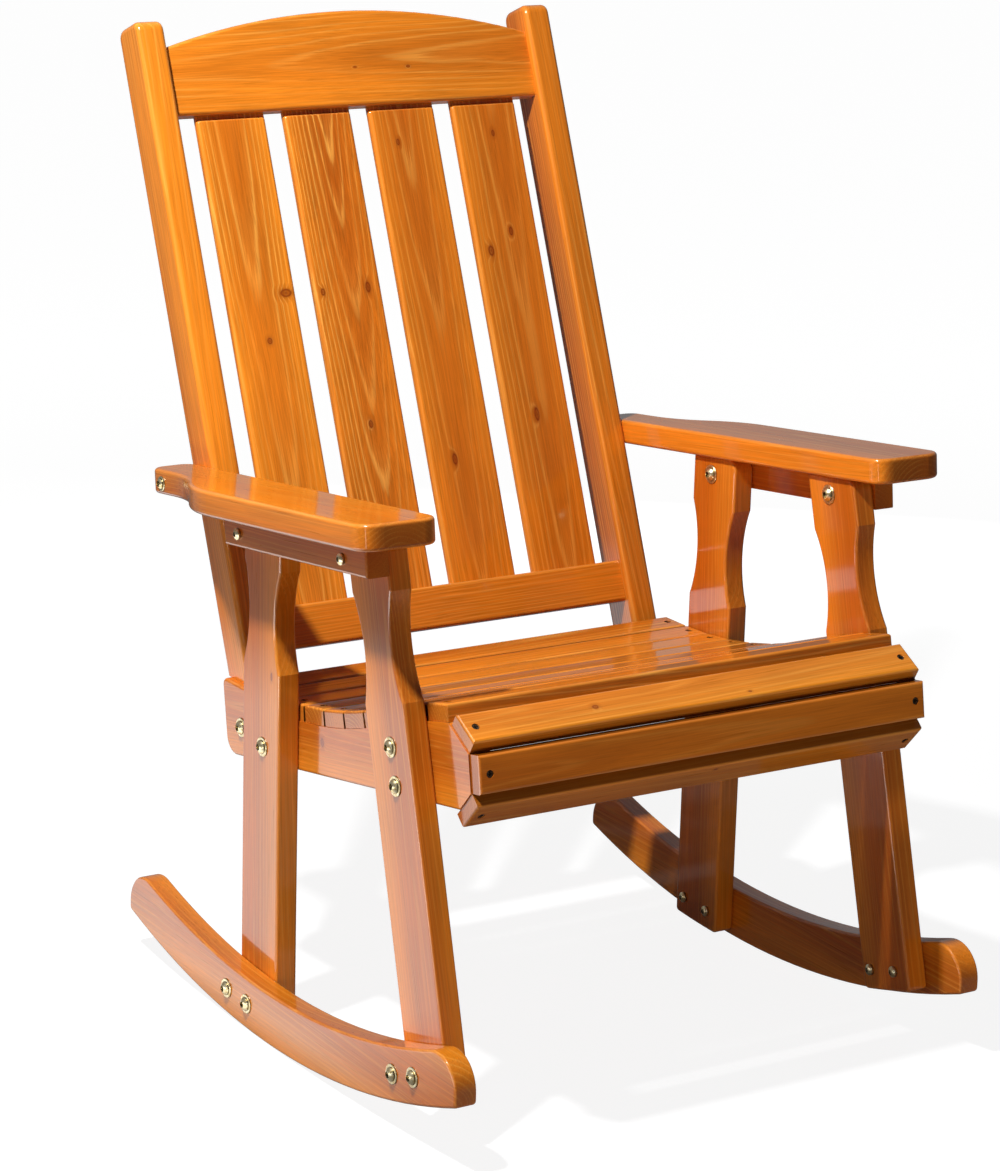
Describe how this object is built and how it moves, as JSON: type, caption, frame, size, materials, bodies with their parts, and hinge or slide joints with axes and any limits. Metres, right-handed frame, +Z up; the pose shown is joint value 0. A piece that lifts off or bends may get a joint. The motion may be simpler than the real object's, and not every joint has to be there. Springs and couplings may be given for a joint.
{
  "type": "rocking chair",
  "caption": "Slatted wooden rocking chair with a tall leaning back, dished seat, wide armrests on scalloped legs and curved rockers, bolted together from flat boards.",
  "frame": {"origin": "floor level under the middle of the overall box", "axes": "+Z up, -Y the way the sitter faces, +X the sitter's left; X = 0 is the plane of symmetry"},
  "size_m": [0.705, 0.84, 1.0181],
  "materials": {
    "varnished_pine": "gloss varnish over softwood",
    "plated_brass": "bright plated",
    "screw_steel": "darkened"
  },
  "bodies": {
    "root": {"arm_batten_left": "varnished_pine", "arm_batten_right": "varnished_pine", "arm_bolts": "plated_brass", "armrest_left": "varnished_pine", "armrest_right": "varnished_pine", "back_post_left": "varnished_pine", "back_post_right": "varnished_pine", "back_slat_1": "varnished_pine", "back_slat_2": "varnished_pine", "back_slat_3": "varnished_pine", "back_slat_4": "varnished_pine", "batten_bolts": "plated_brass", "batten_nuts": "plated_brass", "crest_rail": "varnished_pine", "front_leg_left": "varnished_pine", "front_leg_right": "varnished_pine", "front_screws": "screw_steel", "front_slat_lower": "varnished_pine", "front_slat_middle": "varnished_pine", "front_slat_upper": "varnished_pine", "leg_bolts": "plated_brass", "leg_nuts": "plated_brass", "lower_back_rail": "varnished_pine", "post_bolts": "plated_brass", "post_nuts": "plated_brass", "rear_leg_left": "varnished_pine", "rear_leg_right": "varnished_pine", "rocker_bolts": "plated_brass", "rocker_left": "varnished_pine", "rocker_nuts": "plated_brass", "rocker_right": "varnished_pine", "seat_rail_left": "varnished_pine", "seat_rail_right": "varnished_pine", "seat_screws": "screw_steel", "seat_slat_01": "varnished_pine", "seat_slat_02": "varnished_pine", "seat_slat_03": "varnished_pine", "seat_slat_04": "varnished_pine", "seat_slat_05": "varnished_pine", "seat_slat_06": "varnished_pine", "seat_slat_07": "varnished_pine", "seat_slat_08": "varnished_pine", "seat_slat_09": "varnished_pine", "seat_slat_10": "varnished_pine"}
  },
  "joints": []
}
